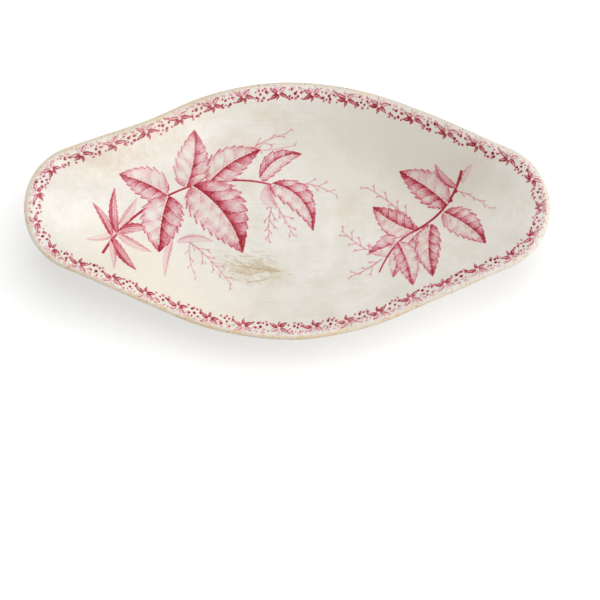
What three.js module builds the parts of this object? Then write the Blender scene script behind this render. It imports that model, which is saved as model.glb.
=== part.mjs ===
// Footed navette dish in glazed earthenware: a lozenge-shaped shell with lifted ends, on an oval foot.
// Millimetres, +Z up, +X along the dish. The origin is under the middle of the dish, on the table.
import {
  BufferGeometry,
  Color,
  Float32BufferAttribute,
  Group,
  MathUtils,
  Mesh,
  MeshStandardMaterial,
  Path,
  Vector2,
  Vector3,
} from "three";

// Overall sizes
const length = 237;
const width = 116;
const height = 48;

// Rim: height at the middle of each side, and where along the dish it starts to rise to the ends
const sideHeight = 38;
const liftStart = 40;

// Plan of the rim: the straight flank's line meets the tip's tangent and the side's tangent here
const tipCorner = 19.5;
const sideCorner = 26.5;

// Wall: thickness at the lip, and how far the lip's round section leans outwards
const wall = 4.2;
const lipTilt = MathUtils.degToRad(50);

// Foot ring: its size on the table, how far its top flares at the ends and draws in at the sides,
// the thickness of its wall at the table and at the top, and its rounded edges
const footHeight = 11.8;
const footLength = 120;
const footWidth = 74;
const footEndFlare = 3.5;
const footSideDraft = 0.7;
const footWall = 6.5;
const footTopWall = 8;
const footEdge = 1.2;

// Slip lute: the band that joins foot and shell, wiped back from their edges and filleted inside
const luteHeight = 3.2;
const luteSetBack = 0.6;
const luteHollow = 0.5;
const luteFillet = 2;

// Base land of the shell, past the foot's top at the ends, and the floor above it
const baseOverhang = 6;
const floorThickness = 5;
const floorInset = 15;

// Profile curves: the powers are 1 for a straight line and more for one that starts level,
// and the inner wall's fullness lifts the middle of its curve
const outerBow = 1.1;
const footBow = 2.2;
const innerFullness = 0.6;

// Facets: stations in each quarter of the plan, and steps along each stretch of a section
const quarterStations = 24;
const outerSteps = 6;
const lipSteps = 8;
const innerSteps = 10;
const footSteps = 5;
const edgeSteps = 3;
const luteSteps = 4;

const glaze = { color: new Color(0xe9e3d6), roughness: 0.22, metalness: 0 };
const footGlaze = { color: new Color(0xddd7c8), roughness: 0.28, metalness: 0 };
const slip = { color: new Color(0xc4b9a3), roughness: 0.4, metalness: 0 };

const footTopLength = footLength + 2 * footEndFlare;
const footTopWidth = footWidth - 2 * footSideDraft;
const baseHeight = footHeight + luteHeight;
const baseLength = footTopLength + 2 * baseOverhang;
const baseWidth = footTopWidth;
const floorHeight = baseHeight + floorThickness;

const outerProfile = (share) => share ** outerBow;
const footProfile = (share) => share ** footBow;
const innerProfile = (share) => share ** 2 * (1 + innerFullness * (1 - share));

// Plan curves, each a quarter from the +X end round to the +Y side
function navetteQuarter() {
  const halfLength = length / 2;
  const halfWidth = width / 2;
  const flank = Math.atan2(halfWidth - tipCorner, halfLength - sideCorner);
  const tipRadius = tipCorner / Math.tan((Math.PI / 2 - flank) / 2);
  const sideRadius = sideCorner / Math.tan(flank / 2);
  const quarter = new Path();
  quarter.absarc(halfLength - tipRadius, 0, tipRadius, 0, Math.PI / 2 - flank);
  quarter.absarc(0, halfWidth - sideRadius, sideRadius, Math.PI / 2 - flank, Math.PI / 2);
  return quarter;
}

function ovalQuarter(ovalLength, ovalWidth) {
  const quarter = new Path();
  quarter.absellipse(0, 0, ovalLength / 2, ovalWidth / 2, 0, Math.PI / 2);
  return quarter;
}

// A quarter's evenly spaced stations, mirrored into one loop, counter-clockwise from above
function mirrorRound(stations) {
  const last = stations.length - 1;
  const turned = (station, x, y) => station.clone().multiply(new Vector2(x, y));
  const forth = stations.slice(0, last);
  const back = stations.slice(1).reverse();
  return [
    ...forth.map((station) => turned(station, 1, 1)),
    ...back.map((station) => turned(station, -1, 1)),
    ...forth.map((station) => turned(station, -1, -1)),
    ...back.map((station) => turned(station, 1, -1)),
  ];
}

const ovalPlan = (ovalLength, ovalWidth) =>
  mirrorRound(ovalQuarter(ovalLength, ovalWidth).getSpacedPoints(quarterStations));

// The oval drawn in from another by one distance all round
const insetOval = (ovalLength, ovalWidth, inset) =>
  ovalPlan(ovalLength - 2 * inset, ovalWidth - 2 * inset);

const ringAt = (plan, z) => plan.map((point) => new Vector3(point.x, point.y, z));

// Rim stations: the plan's outer edge, the direction straight out of it, and the lip's top
const rimQuarter = navetteQuarter();
const rimPlan = mirrorRound(rimQuarter.getSpacedPoints(quarterStations));
const rimNormals = mirrorRound(
  Array.from({ length: quarterStations + 1 }, (_, station) => {
    const tangent = rimQuarter.getTangentAt(station / quarterStations);
    return new Vector2(tangent.y, -tangent.x);
  }),
);
const rimHeights = rimPlan.map((point) => {
  const lift = MathUtils.smoothstep(Math.abs(point.x), liftStart, length / 2);
  return MathUtils.lerp(sideHeight, height, lift);
});

// One ring of the lip's round section, at an angle from straight out over the top to straight in
function lipRing(angle) {
  const radius = wall / 2;
  return rimPlan.map((point, station) => {
    const out = radius * Math.cos(angle) - radius;
    const plan = point.clone().addScaledVector(rimNormals[station], out);
    const z = rimHeights[station] - radius + radius * Math.sin(angle);
    return new Vector3(plan.x, plan.y, z);
  });
}

// Rings from a low ring to a high one: even in plan, while the height follows a profile
function profiledWall(low, high, profile, steps) {
  return Array.from({ length: steps - 1 }, (_, index) => {
    const share = (index + 1) / steps;
    return low.map((point, station) => {
      const between = point.clone().lerp(high[station], share);
      between.z = MathUtils.lerp(point.z, high[station].z, profile(share));
      return between;
    });
  });
}

// A skin over rings: capped at both ends with a fan, or closed on itself when the section is a loop
function skin(rings, isLoop) {
  const around = rings[0].length;
  const positions = rings.flat().flatMap((point) => point.toArray());
  const faces = [];
  const strips = isLoop ? rings.length : rings.length - 1;
  for (let strip = 0; strip < strips; strip += 1) {
    const here = strip * around;
    const next = ((strip + 1) % rings.length) * around;
    for (let station = 0; station < around; station += 1) {
      const beside = (station + 1) % around;
      faces.push(here + station, here + beside, next + beside);
      faces.push(here + station, next + beside, next + station);
    }
  }
  if (!isLoop) {
    const lastRing = (rings.length - 1) * around;
    const lowCentre = positions.length / 3;
    const highCentre = lowCentre + 1;
    positions.push(0, 0, rings[0][0].z, 0, 0, rings.at(-1)[0].z);
    for (let station = 0; station < around; station += 1) {
      const beside = (station + 1) % around;
      faces.push(lowCentre, beside, station);
      faces.push(highCentre, lastRing + station, lastRing + beside);
    }
  }
  const geometry = new BufferGeometry();
  geometry.setAttribute("position", new Float32BufferAttribute(positions, 3));
  geometry.setIndex(faces);
  geometry.computeVertexNormals();
  return geometry;
}

function piece(name, geometry, finish) {
  const mesh = new Mesh(geometry, new MeshStandardMaterial(finish));
  mesh.name = name;
  return mesh;
}

// Shell: base land, outer wall, rounded lip, inner wall and floor, in one run of rings
function dishBody() {
  const base = ringAt(ovalPlan(baseLength, baseWidth), baseHeight);
  const floor = ringAt(insetOval(baseLength, baseWidth, floorInset), floorHeight);
  const lip = Array.from({ length: lipSteps + 1 }, (_, step) =>
    lipRing((Math.PI * step) / lipSteps - lipTilt),
  );
  return skin(
    [
      base,
      ...profiledWall(base, lip[0], outerProfile, outerSteps),
      ...lip,
      ...profiledWall(floor, lip.at(-1), innerProfile, innerSteps).reverse(),
      floor,
    ],
    false,
  );
}

// Foot: a ring that stands on a flat face with rounded edges and flares to its top at the ends
function footRing() {
  const roundEdge = (angle, inset) => {
    const drawIn = inset + footEdge - footEdge * Math.cos(angle);
    const z = footEdge - footEdge * Math.sin(angle);
    return ringAt(insetOval(footLength, footWidth, drawIn), z);
  };
  const quarterTurns = Array.from(
    { length: edgeSteps + 1 },
    (_, step) => (Math.PI / 2) * (1 - step / edgeSteps),
  );
  const outerEdge = quarterTurns.map((angle) => roundEdge(angle, 0));
  const innerWidth = footWall - 2 * footEdge;
  const innerEdge = quarterTurns.map((angle) => roundEdge(Math.PI - angle, innerWidth));
  const top = ringAt(ovalPlan(footTopLength, footTopWidth), footHeight);
  const innerTop = ringAt(insetOval(footTopLength, footTopWidth, footTopWall), footHeight);
  const side = Array.from({ length: footSteps - 1 }, (_, index) => {
    const share = (index + 1) / footSteps;
    const flare = footProfile(share);
    const plan = ovalPlan(
      MathUtils.lerp(footLength, footTopLength, flare),
      MathUtils.lerp(footWidth, footTopWidth, flare),
    );
    return ringAt(plan, MathUtils.lerp(footEdge, footHeight, share));
  });
  return skin([...outerEdge, ...side, top, innerTop, ...innerEdge.reverse()], true);
}

// Lute: a low ring between the foot's top and the base land, hollowed to a cove outside
function slipLute() {
  const cove = Array.from({ length: luteSteps + 1 }, (_, step) => {
    const share = step / luteSteps;
    const spread = share * share;
    const inset = luteSetBack + luteHollow * Math.sin(Math.PI * share);
    const plan = insetOval(
      MathUtils.lerp(footTopLength, baseLength, spread),
      MathUtils.lerp(footTopWidth, baseWidth, spread),
      inset,
    );
    return ringAt(plan, footHeight + luteHeight * share);
  });
  const innerInset = footTopWall - luteSetBack;
  const innerTopPlan = insetOval(footTopLength, footTopWidth, innerInset + luteFillet);
  const innerTop = ringAt(innerTopPlan, baseHeight);
  const innerBottom = ringAt(insetOval(footTopLength, footTopWidth, innerInset), footHeight);
  return skin([...cove, innerTop, innerBottom], true);
}

const dish = new Group();
dish.add(
  piece("foot_ring", footRing(), footGlaze),
  piece("slip_lute", slipLute(), slip),
  piece("dish_body", dishBody(), glaze),
);

export default dish;
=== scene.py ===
"""Footed navette dish in printed, glazed earthenware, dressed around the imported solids."""
import math

import bpy
import numpy as np
from mathutils import Euler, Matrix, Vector


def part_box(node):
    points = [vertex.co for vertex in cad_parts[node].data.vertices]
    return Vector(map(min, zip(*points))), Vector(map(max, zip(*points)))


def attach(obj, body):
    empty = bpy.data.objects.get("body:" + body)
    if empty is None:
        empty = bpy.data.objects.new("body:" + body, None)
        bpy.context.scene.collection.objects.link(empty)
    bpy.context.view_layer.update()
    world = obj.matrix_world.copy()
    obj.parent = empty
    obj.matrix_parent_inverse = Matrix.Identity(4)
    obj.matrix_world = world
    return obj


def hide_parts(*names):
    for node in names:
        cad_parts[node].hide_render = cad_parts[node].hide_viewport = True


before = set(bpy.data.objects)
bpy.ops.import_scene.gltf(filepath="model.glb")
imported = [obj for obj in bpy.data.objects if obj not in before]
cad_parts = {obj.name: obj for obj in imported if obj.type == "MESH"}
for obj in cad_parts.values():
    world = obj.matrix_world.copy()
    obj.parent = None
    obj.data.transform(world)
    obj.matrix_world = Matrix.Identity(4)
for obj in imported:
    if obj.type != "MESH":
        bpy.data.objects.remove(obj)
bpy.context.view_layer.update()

# Sizes in millimetres. The overall ones come from the frame, the rest shape the curves between them.
MM = 0.001


def node_box(node):
    low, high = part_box(node)
    return np.array(low) / MM, np.array(high) / MM


BODY_LOW, BODY_HIGH = node_box("dish_body")
FOOT_LOW, FOOT_HIGH = node_box("foot_ring")
LENGTH, WIDTH = BODY_HIGH[0] - BODY_LOW[0], BODY_HIGH[1] - BODY_LOW[1]
HEIGHT, BASE_HEIGHT = BODY_HIGH[2], BODY_LOW[2]
FOOT_TOP_LENGTH, FOOT_WIDTH = FOOT_HIGH[0] - FOOT_LOW[0], FOOT_HIGH[1] - FOOT_LOW[1]
FOOT_HEIGHT = FOOT_HIGH[2]

SIDE_HEIGHT = 38.0
LIFT_START = 40.0
TIP_CORNER = 19.5
SIDE_CORNER = 26.5
WALL = 4.2
LIP_TILT = math.radians(50)
FLOOR_THICKNESS = 5.0
FLOOR_INSET = 15.0
BASE_OVERHANG = 6.0
OUTER_BOW = 1.1
INNER_FULLNESS = 0.6
BASE_EDGE = 0.45

FOOT_END_FLARE = 3.5
FOOT_SIDE_DRAFT = 0.7
FOOT_WALL = 6.5
FOOT_TOP_WALL = 8.0
FOOT_EDGE = 1.2
FOOT_TOP_EDGE = 0.35
FOOT_BOW = 2.2
LUTE_SET_BACK = 0.6
LUTE_HOLLOW = 0.5
LUTE_FILLET = 2.0

FOOT_LENGTH = FOOT_TOP_LENGTH - 2 * FOOT_END_FLARE
FOOT_TOP_WIDTH = FOOT_WIDTH - 2 * FOOT_SIDE_DRAFT
BASE_LENGTH = FOOT_TOP_LENGTH + 2 * BASE_OVERHANG
BASE_WIDTH = FOOT_TOP_WIDTH
FLOOR_HEIGHT = BASE_HEIGHT + FLOOR_THICKNESS
LUTE_HEIGHT = BASE_HEIGHT - FOOT_HEIGHT

# Hand-made unevenness of the rim: waves round it, with their count, size in mm and phase,
# and swells at a share of the way round, with their spread and size in mm
RIM_WAVES_OUT = ((5, 0.10, 0.7), (9, 0.08, 2.1), (14, 0.05, 4.0))
RIM_WAVES_UP = ((2, 0.22, 1.9), (5, 0.14, 0.4), (11, 0.06, 3.2))
RIM_SWELLS = ((0.365, 0.055, -1.8), (0.135, 0.050, 1.6), (0.75, 0.07, 0.8))

# Fineness of the meshes
GRID_LONG = 700
GRID_SHORT = 350
LIP_STEPS = 14
OUTER_STEPS = 16
RING_STATIONS = 480
OVAL_POINTS = 721
FOOT_EDGE_STEPS = 7
FOOT_WALL_STEPS = 15
FOOT_TOP_STEPS = 5
FOOT_INSIDE_STEPS = 8
LUTE_STEPS = 13
FILLET_STEPS = 9
# Where the outer wall stops above the base, as a share of the way up, and the insets of the rings under
# the base and on top of the foot
WALL_FOOT = 0.018
BASE_RINGS = (BASE_EDGE, 3.0, 12.0, 24.0, 33.0)
FOOT_TOP_RINGS = (2.0, FOOT_TOP_WALL - 0.5, FOOT_TOP_WALL)
# The lip's inner side, up to this angle, goes with the bowl in the map for baking, a square of this many
# millimetres
LIP_CREST = math.pi / 2 - 0.06
BAKE_ROOM = 256.0
# Depth from the rim for points outside the bowl
FAR_FROM_RIM = 40.0

SEED = 11


def soft_step(low, high, value):
    """0 at low and 1 at high, eased; it falls where high is below low."""
    share = np.clip((value - low) / (high - low), 0, 1)
    return share * share * (3 - 2 * share)


def mix(start, end, share):
    return start + (end - start) * share


# Plan of the rim: two arcs and the straight flank between them in each quarter
FLANK = math.atan2(WIDTH / 2 - TIP_CORNER, LENGTH / 2 - SIDE_CORNER)
TIP_TURN = math.pi / 2 - FLANK
TIP_RADIUS = TIP_CORNER / math.tan(TIP_TURN / 2)
SIDE_RADIUS = SIDE_CORNER / math.tan(FLANK / 2)
TIP_CENTRE = np.array([LENGTH / 2 - TIP_RADIUS, 0.0])
SIDE_CENTRE = np.array([0.0, WIDTH / 2 - SIDE_RADIUS])
FLANK_OUT = np.array([math.cos(TIP_TURN), math.sin(TIP_TURN)])
FLANK_ALONG = np.array([-math.sin(TIP_TURN), math.cos(TIP_TURN)])
TIP_END = TIP_CENTRE + TIP_RADIUS * FLANK_OUT
SIDE_START = SIDE_CENTRE + SIDE_RADIUS * FLANK_OUT
TIP_RUN = TIP_RADIUS * TIP_TURN
FLANK_RUN = float((SIDE_START - TIP_END) @ FLANK_ALONG)
QUARTER_RUN = TIP_RUN + FLANK_RUN + SIDE_RADIUS * FLANK


def waves(share, rows):
    return sum(size * np.sin(2 * np.pi * count * share + phase) for count, size, phase in rows)


def rim_stray(share):
    """How far the hand-made rim stands out from its plan, at a share of the way round it."""
    swells = sum(size * np.exp(-((share - at) / spread) ** 2) for at, spread, size in RIM_SWELLS)
    return waves(share, RIM_WAVES_OUT) + swells


class Stations:
    """Places round the rim: q is the share of a quarter's run, and the signs give the quarter."""

    def __init__(self, q, sign_x, sign_y):
        self.q = np.asarray(q, float)
        self.signs = np.c_[sign_x, sign_y]

    def oval(self, length, width):
        turn = np.linspace(0, np.pi / 2, OVAL_POINTS)
        curve = np.c_[length / 2 * np.cos(turn), width / 2 * np.sin(turn)]
        steps = np.linalg.norm(np.diff(curve, axis=0), axis=1)
        run = np.r_[0, np.cumsum(steps)]
        at = self.q * run[-1]
        return np.c_[np.interp(at, run, curve[:, 0]), np.interp(at, run, curve[:, 1])] * self.signs

    def rim(self):
        """Plan points on the rim's outer edge, and the directions straight out of it."""
        run = self.q * QUARTER_RUN
        tip = np.minimum(run, TIP_RUN) / TIP_RADIUS
        side = TIP_TURN + np.maximum(run - TIP_RUN - FLANK_RUN, 0) / SIDE_RADIUS
        turn = np.where(run < TIP_RUN + FLANK_RUN, tip, side)
        out = np.c_[np.cos(turn), np.sin(turn)]
        on_flank = TIP_END + (run - TIP_RUN)[:, None] * FLANK_ALONG
        plan = np.where((run < TIP_RUN)[:, None], TIP_CENTRE + TIP_RADIUS * out, on_flank)
        on_side = (run > TIP_RUN + FLANK_RUN)[:, None]
        plan = np.where(on_side, SIDE_CENTRE + SIDE_RADIUS * out, plan)
        return plan * self.signs, out * self.signs

    def loop_share(self):
        """Share of the whole rim, counter-clockwise from the +X end."""
        east, north = self.signs[:, 0] > 0, self.signs[:, 1] > 0
        back = np.where(east, self.q, 2 - self.q)
        front = np.where(east, 4 - self.q, 2 + self.q)
        return np.where(north, back, front) / 4

    def lip(self, angle):
        """Plan and height of the lip's round section at an angle from straight out over its top."""
        plan, out = self.rim()
        radius = WALL / 2
        lift = soft_step(LIFT_START, LENGTH / 2, np.abs(plan[:, 0]))
        share = self.loop_share()
        top = mix(SIDE_HEIGHT, HEIGHT, lift) + waves(share, RIM_WAVES_UP)
        reach = radius * (math.cos(angle) - 1) + rim_stray(share)
        return plan + out * reach[:, None], top - radius + radius * math.sin(angle)


def even_loop(count):
    """Evenly spaced stations round the whole rim, counter-clockwise from the +X end."""
    share = np.arange(count) / count * 4
    quarter = np.floor(share).astype(int)
    q = np.where(quarter % 2 == 0, share - quarter, 1 - (share - quarter))
    return Stations(q, np.where((quarter == 0) | (quarter == 3), 1, -1), np.where(quarter < 2, 1, -1))


def rim_place(plan):
    """Run along the rim, and distance in from it, of plan points near the rim."""
    folded = np.abs(plan)
    from_tip, from_side = folded - TIP_CENTRE, folded - SIDE_CENTRE
    tip_turn = np.arctan2(from_tip[:, 1], from_tip[:, 0])
    side_turn = np.arctan2(from_side[:, 1], from_side[:, 0])
    run = TIP_RUN + (folded - TIP_END) @ FLANK_ALONG
    depth = (TIP_END - folded) @ FLANK_OUT
    on_tip, on_side = tip_turn < TIP_TURN, side_turn > TIP_TURN
    run = np.where(on_tip, TIP_RADIUS * tip_turn, run)
    depth = np.where(on_tip, TIP_RADIUS - np.linalg.norm(from_tip, axis=1), depth)
    run = np.where(on_side, TIP_RUN + FLANK_RUN + SIDE_RADIUS * (side_turn - TIP_TURN), run)
    depth = np.where(on_side, SIDE_RADIUS - np.linalg.norm(from_side, axis=1), depth)
    east, north = plan[:, 0] >= 0, plan[:, 1] >= 0
    half = 2 * QUARTER_RUN
    back = np.where(east, run, half - run)
    front = np.where(east, 2 * half - run, half + run)
    run = np.where(north, back, front)
    return run, depth + rim_stray(run / (2 * half))


# The print: ink density on plan points. Lengths are in millimetres, tones run from 0 for no ink to 1.
def bow(start, middle, end, count=14):
    share = np.linspace(0, 1, count)[:, None]
    start, middle, end = (np.asarray(point, float) for point in (start, middle, end))
    return (1 - share) ** 2 * start + 2 * share * (1 - share) * middle + share ** 2 * end


def toward(angle):
    """One step in the direction of an angle."""
    return np.array([math.cos(angle), math.sin(angle)])


def fade(gap, reach):
    """1 at no gap, falling off over a reach."""
    return np.exp(-np.clip(gap, 0, None) / reach)


def grained(least, more, grain):
    return least + more * grain


# Ink of any kind: softness of its edges, room for the search of points, and the grain of strokes
SOFT_EDGE = 0.2
SEARCH_ROOM = 1.0
SEARCH_SHARE = 0.7
END_GUARD = 1e-4
STROKE_GRAIN = (0.8, 0.4)
HOLLOW_TONE = 0.05

# Outline of a toothed leaf: how its edge leaves the base and meets the tip, and its fullest width
LEAF_BASE = 0.56
LEAF_TIP = 0.98
LEAF_FULLEST = LEAF_BASE / (LEAF_BASE + LEAF_TIP)
LEAF_PEAK = LEAF_FULLEST ** LEAF_BASE * (1 - LEAF_FULLEST) ** LEAF_TIP
LEAF_THINNEST = 0.3
# Its teeth: bite as a share of the half width, slant, stagger between the two halves, uneven spacing, and
# the small teeth on the large ones
TOOTH_BITE = 0.18
TOOTH_SLANT = 0.22
TOOTH_STAGGER = 0.4
TOOTH_DRIFT = 0.25
TOOTH_DRIFT_RATE = 7
SMALL_TOOTH = 0.2
SMALL_TOOTH_RATE = 2.6
# Its side veins: place of the first, sweep to the tip, curl, wobble, line and where they fade
VEIN_START = 0.3
VEIN_SWEEP = 0.95
VEIN_CURL = 0.32
VEIN_WOBBLE = 0.012
VEIN_WOBBLE_RATE = 19
VEIN_LINE = (0.02, 0.28)
VEIN_FADE = 0.6
VEIN_FROM = 0.06
# Its tones on the shaded half and the light half: all over, beside the rib, beside the veins, on them
LEAF_WASH = (0.06, 0.02)
BESIDE_RIB = (0.90, 0.10)
BESIDE_RIB_REACH = 0.16
BESIDE_VEIN = (0.50, 0.12)
BESIDE_VEIN_FALL = 3
BESIDE_VEIN_OUT = 1.6
ON_VEIN = (0.50, 0.14)
# Its tones on both halves: along the margin, towards the tip and the base, clouds, grain and outline
MARGIN_TONE = 0.30
MARGIN_REACH = 0.20
MARGIN_CLOUD = (0.8, 0.25)
TIP_TONE, TIP_FROM = 0.16, 0.80
BASE_TONE, BASE_TO = 0.14, 0.2
CLOUD_TONE = 0.05
CLOUD_RATES = (0.7, 0.9)
CLOUD_TURNS = (3, 2)
LEAF_GRAIN = (0.5, 1.0)
FLECK_TONE, FLECK_FROM = 0.06, 0.9
OUTLINE_REACH = 0.22
OUTLINE_GRAIN = (0.5, 0.5)
# Its rib, left white and dotted: half width at the base, edges, dash and pitch, and the inked end
RIB_HALF_WIDTH = 0.12
RIB_EDGES = (0.08, 0.30)
RIB_DASH, RIB_PITCH = 1.3, 1.7
RIB_DOT_TONE = 0.2
RIB_END, RIB_END_TONE = 0.86, 0.8

# A narrow leaf: swelling from the base, ragged edge of the wide ones, and tones across and along it
BLADE_BASE = 0.6
BLADE_THINNEST = 0.2
RAGGED_FROM = 1.4
RAGGED_BITE = 0.22
RAGGED_PITCH = 2.6
RAGGED_STAGGER = 0.4
BLADE_SIDES = (0.16, 0.72)
BLADE_SHADED_FROM = -0.5
BLADE_TIP_TONE = 0.15
BLADE_BASE_TONE = 0.4
BLADE_LINES = (0.85, 0.3)
BLADE_LINES_ACROSS, BLADE_LINES_ALONG = 5, 9
BLADE_OUTLINE, BLADE_OUTLINE_REACH = 0.95, 0.15
BLADE_GRAIN = (0.6, 0.7)
BLADE_RIB_EDGES = (0.02, 0.28)
BLADE_RIB_FROM = 0.6
BLADE_RIB_END = 0.75
BLADE_RIB_PALE = 0.6

# A twig: where its side shoots stand, their swing, length and widths, and the forks at their ends
TWIG_WIDTH = 0.5
TWIG_END = 0.5
SHOOT_PLACES = (0.16, 0.97)
SHOOT_SWING = (0.3, 0.9)
SHOOT_SHORTER = 0.5
SHOOT_LENGTHS = (0.5, 1.4)
SHOOT_WIDTHS = (0.7, 0.6)
FORK_TURNS = (-0.5, 0.4)
FORK_STRAY = 0.2
FORK_LENGTHS = (0.2, 0.5)
FORK_WIDTHS = (0.7, 0.4)
FORK_TONE = 1.1


class Ink:
    """Ink laid on plan points, 0 for none and 1 for the deepest. Later leaves cover earlier ones."""

    def __init__(self, plan):
        self.plan = plan
        self.density = np.zeros(len(plan))
        self.rng = np.random.default_rng(SEED)
        self.grain = self.rng.random(len(plan))

    def near(self, centre, reach):
        gap = np.abs(self.plan - np.asarray(centre, float))
        return np.nonzero((gap[:, 0] < reach) & (gap[:, 1] < reach))[0]

    def along(self, base, tip, bend, reach):
        """Points near a leaf: number, share along it, distance off its rib, its length, and if beside it."""
        base, tip = np.asarray(base, float), np.asarray(tip, float)
        length = np.linalg.norm(tip - base)
        heading = (tip - base) / length
        found = self.near((base + tip) / 2, length * SEARCH_SHARE + reach)
        spot = self.plan[found] - base
        share = spot @ heading / length
        held = np.clip(share, END_GUARD, 1 - END_GUARD)
        off = spot @ np.array([-heading[1], heading[0]]) - bend * length * 4 * held * (1 - held)
        return found, held, off, length, (share > 0) & (share < 1)

    def lay(self, found, cover, tone):
        self.density[found] = mix(self.density[found], np.clip(tone, 0, 1), cover)

    def stroke(self, line, widths, tone):
        """A tapering line along points."""
        line = np.asarray(line, float)
        reach = np.ptp(line, axis=0).max() / 2 + max(widths) + SEARCH_ROOM
        found = self.near((line.min(0) + line.max(0)) / 2, reach)
        spot = self.plan[found]
        best = np.full(len(found), np.inf)
        share = np.zeros(len(found))
        for index, (start, end) in enumerate(zip(line[:-1], line[1:])):
            leg = end - start
            at = np.clip((spot - start) @ leg / (leg @ leg), 0, 1)
            gap = np.linalg.norm(spot - start - at[:, None] * leg, axis=1)
            share = np.where(gap < best, (index + at) / (len(line) - 1), share)
            best = np.minimum(best, gap)
        cover = 1 - soft_step(-SOFT_EDGE, SOFT_EDGE, best - mix(*widths, share) / 2)
        deep = tone * grained(*STROKE_GRAIN, self.grain[found])
        self.lay(found, cover, np.maximum(self.density[found], deep))

    def leaf(self, base, tip, half_width, bend=0.08, teeth=9, veins=6, tone=1.0, dark=1):
        """A toothed leaf with a dotted white rib: deep at its margin and veins, pale between them."""
        found, share, off, length, within = self.along(base, tip, bend, half_width)
        grain, plan = self.grain[found], self.plan[found]
        side, shaded = np.abs(off), np.sign(off) == dark

        def halves(tones):
            return np.where(shaded, *tones)

        profile = share ** LEAF_BASE * (1 - share) ** LEAF_TIP / LEAF_PEAK
        drift = TOOTH_DRIFT * np.sin(TOOTH_DRIFT_RATE * share + half_width)
        count = teeth * (share - TOOTH_SLANT * side / length) + TOOTH_STAGGER * np.sign(off) + drift
        tooth = np.mod(count, 1) + SMALL_TOOTH * np.mod(SMALL_TOOTH_RATE * count, 1)
        edge = half_width * profile * (1 - TOOTH_BITE + TOOTH_BITE * tooth)
        inside = edge - side
        depth = np.clip(side / np.maximum(edge, LEAF_THINNEST), 0, 1)

        wobble = VEIN_WOBBLE * np.sin(VEIN_WOBBLE_RATE * share + half_width)
        swept = share - VEIN_SWEEP * side / length * (1 - VEIN_CURL * depth) + wobble
        panel = np.mod(veins * swept + VEIN_START, 1)
        vein_gap = np.minimum(panel, 1 - panel) * length / veins
        vein = (1 - soft_step(*VEIN_LINE, vein_gap)) * (1 - VEIN_FADE * depth) * (share > VEIN_FROM)

        cloud = np.sin(CLOUD_RATES[0] * plan[:, 0] + CLOUD_TURNS[0] * share)
        cloud = cloud * np.sin(CLOUD_RATES[1] * plan[:, 1] - CLOUD_TURNS[1] * depth)
        margin = MARGIN_TONE * fade(inside, MARGIN_REACH * half_width)
        shade = halves(LEAF_WASH) + CLOUD_TONE * cloud + margin * grained(*MARGIN_CLOUD, cloud)
        shade = shade + halves(BESIDE_RIB) * fade(side, BESIDE_RIB_REACH * half_width)
        beside_vein = (1 - panel) ** BESIDE_VEIN_FALL * (1 - depth) ** BESIDE_VEIN_OUT
        shade = shade + halves(BESIDE_VEIN) * beside_vein
        shade = shade + TIP_TONE * soft_step(TIP_FROM, 1, share) + BASE_TONE * soft_step(BASE_TO, 0, share)
        shade = shade + halves(ON_VEIN) * vein
        shade = shade * grained(*LEAF_GRAIN, grain) + FLECK_TONE * (grain > FLECK_FROM)
        outline = fade(inside, OUTLINE_REACH) * grained(*OUTLINE_GRAIN, np.mod(count, 1))
        shade = mix(shade, 1.0, outline)

        rib = 1 - soft_step(*RIB_EDGES, side - RIB_HALF_WIDTH * (1 - share))
        dotted = np.where(np.mod(share * length, RIB_PITCH) < RIB_DASH, 0.0, RIB_DOT_TONE)
        shade = mix(shade, np.where(share < RIB_END, dotted, RIB_END_TONE), rib)
        self.lay(found, soft_step(-SOFT_EDGE, SOFT_EDGE, inside) * within, tone * shade)

    def blade(self, base, tip, half_width, bend=0.05, tone=1.0, dark=1, taper=1.0, fill=1.0):
        """A narrow leaf, deeper on one side of its rib and at its base, ragged if it is wide.

        A high taper draws its tip out thin, and a high fill makes it deeper inside its outline.
        """
        found, share, off, length, within = self.along(base, tip, bend, half_width)
        side = np.abs(off)
        fullest = BLADE_BASE / (BLADE_BASE + taper)
        peak = fullest ** BLADE_BASE * (1 - fullest) ** taper
        ragged = np.mod(share * length / RAGGED_PITCH + RAGGED_STAGGER * np.sign(off), 1)
        ragged = RAGGED_BITE * ragged * (half_width > RAGGED_FROM)
        edge = half_width * share ** BLADE_BASE * (1 - share) ** taper / peak * (1 - ragged)
        inside = edge - side
        across = np.clip(dark * off / np.maximum(edge, BLADE_THINNEST), -1, 1)
        shade = mix(*BLADE_SIDES, soft_step(BLADE_SHADED_FROM, 1, across))
        shade = fill * (shade + BLADE_TIP_TONE * share ** 2 + BLADE_BASE_TONE * (1 - share) ** 2)
        lines = np.sin(BLADE_LINES_ACROSS * half_width * across + BLADE_LINES_ALONG * share)
        shade = shade * grained(*BLADE_LINES, lines)
        shade = mix(shade, BLADE_OUTLINE, fade(inside, BLADE_OUTLINE_REACH))
        shade = shade * grained(*BLADE_GRAIN, self.grain[found])
        rib = (1 - soft_step(*BLADE_RIB_EDGES, side)) * (share < BLADE_RIB_END)
        rib = rib * (half_width > BLADE_RIB_FROM)
        cover = soft_step(-SOFT_EDGE, SOFT_EDGE, inside) * within
        self.lay(found, cover, tone * shade * (1 - BLADE_RIB_PALE * rib))

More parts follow.
